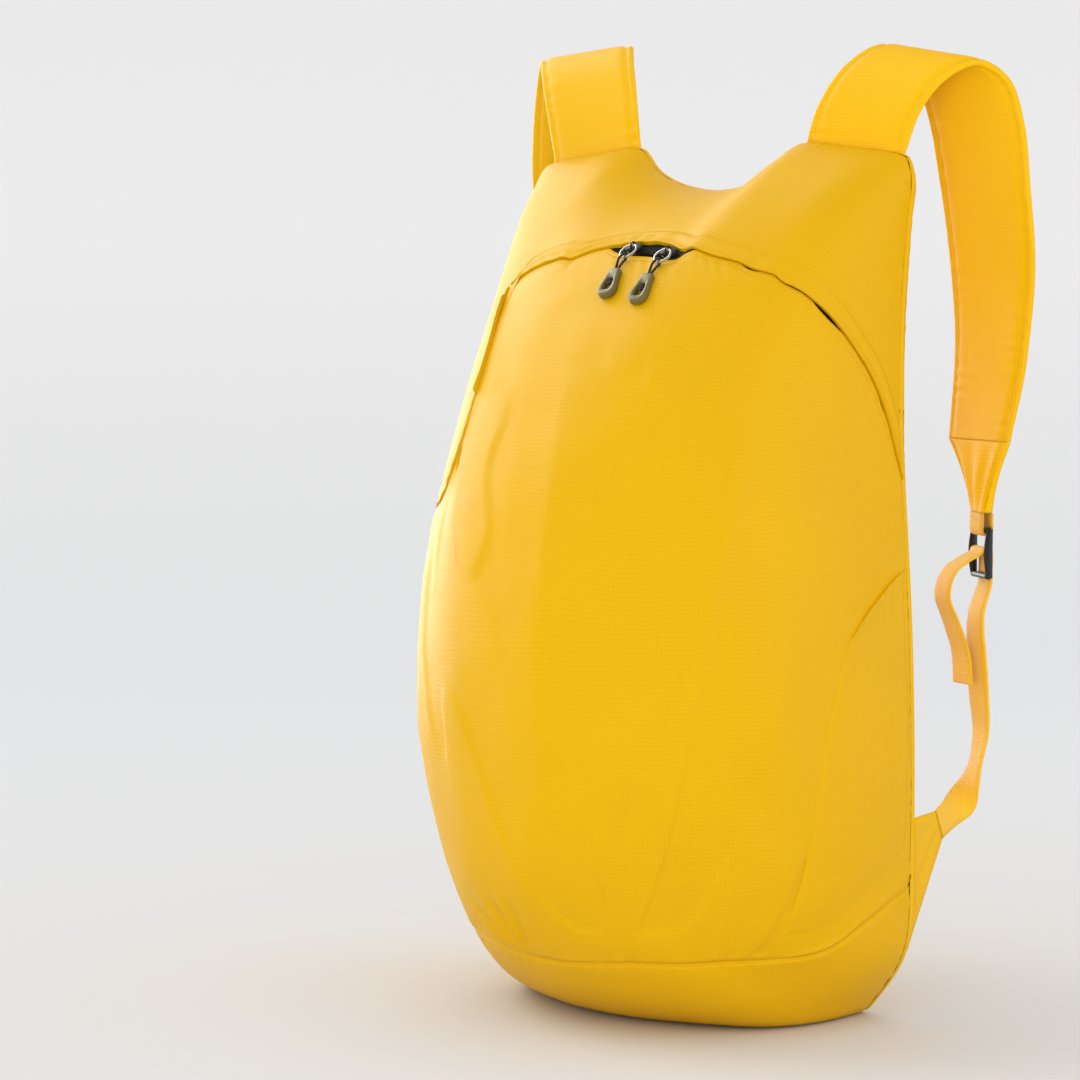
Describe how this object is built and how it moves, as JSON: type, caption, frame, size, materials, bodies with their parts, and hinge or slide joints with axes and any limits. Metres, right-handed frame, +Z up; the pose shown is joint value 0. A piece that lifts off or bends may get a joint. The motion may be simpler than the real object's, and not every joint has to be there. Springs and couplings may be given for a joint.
{
  "type": "packable backpack",
  "caption": "Light packable backpack of thin ripstop, standing stuffed full, with an arched zipper, side pockets and plain padded shoulder straps.",
  "frame": {"origin": "under the middle of the whole, on the surface that the bag stands on", "axes": "+Z up, -Y towards the front of the bag, +X towards the right side as seen from the front"},
  "size_m": [0.3124, 0.2448, 0.4745],
  "materials": {
    "shell_fabric": "thin coated ripstop, soft sheen",
    "back_fabric": "doubled ripstop, soft sheen",
    "strap_fabric": "ripstop over thin padding",
    "webbing": "woven narrow webbing",
    "zipper_tape": "black woven tape with a nylon coil",
    "slider_metal": "dark painted die casting",
    "ring_metal": "bright wire",
    "pull_cord": "black braided cord",
    "pull_moulding": "olive moulded rubbery plastic",
    "buckle_plastic": "black moulded plastic"
  },
  "bodies": {
    "root": {"front_panel": "shell_fabric", "yoke": "shell_fabric", "bottom_panel": "shell_fabric", "back_panel": "back_fabric", "side_pocket_right": "shell_fabric", "side_pocket_left": "shell_fabric", "zipper_tape": "zipper_tape", "zipper_slider_left": "slider_metal", "pull_ring_left": "ring_metal", "pull_cord_left": "pull_cord", "pull_end_left": "pull_moulding", "shoulder_strap_left": "strap_fabric", "strap_tip_left": "strap_fabric", "buckle_loop_left": "webbing", "ladder_lock_left": "buckle_plastic", "adjuster_webbing_left": "webbing", "lower_wing_left": "shell_fabric", "zipper_slider_right": "slider_metal", "pull_ring_right": "ring_metal", "pull_cord_right": "pull_cord", "pull_end_right": "pull_moulding", "shoulder_strap_right": "strap_fabric", "strap_tip_right": "strap_fabric", "buckle_loop_right": "webbing", "ladder_lock_right": "buckle_plastic", "adjuster_webbing_right": "webbing", "lower_wing_right": "shell_fabric"}
  },
  "joints": []
}
